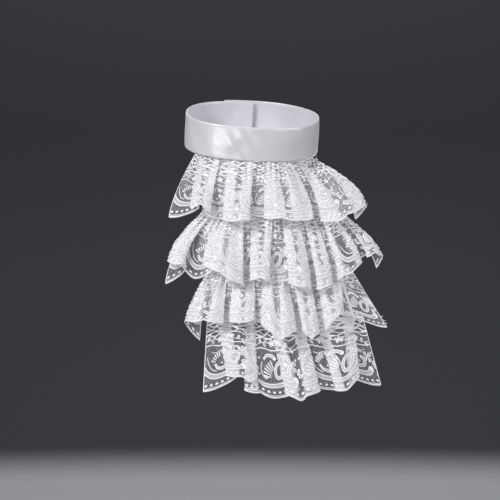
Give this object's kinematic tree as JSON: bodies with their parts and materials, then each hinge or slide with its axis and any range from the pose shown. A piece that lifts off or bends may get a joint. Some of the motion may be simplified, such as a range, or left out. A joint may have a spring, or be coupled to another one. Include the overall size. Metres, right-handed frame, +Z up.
{
  "type": "lace jabot with a satin neckband",
  "caption": "Costume jabot: a white satin neckband closed at the back, with gathered, scalloped floral lace ruffles hanging in tiers at the front.",
  "frame": {"origin": "middle of the ring of the neckband, where the neck holds it", "axes": "+Z up along the neck, -Y to the front, +X to the wearer's left"},
  "size_m": [0.2303, 0.1948, 0.3056],
  "materials": {
    "satin": "satin",
    "lace": "matte",
    "net": "matte",
    "tape": "matte"
  },
  "bodies": {
    "root": {"neckband": "satin", "loop_tape": "tape", "hook_tape": "tape", "backing_panel": "net", "ruffle_1": "lace", "ruffle_2": "lace", "ruffle_3": "lace", "ruffle_4": "lace"}
  },
  "joints": []
}
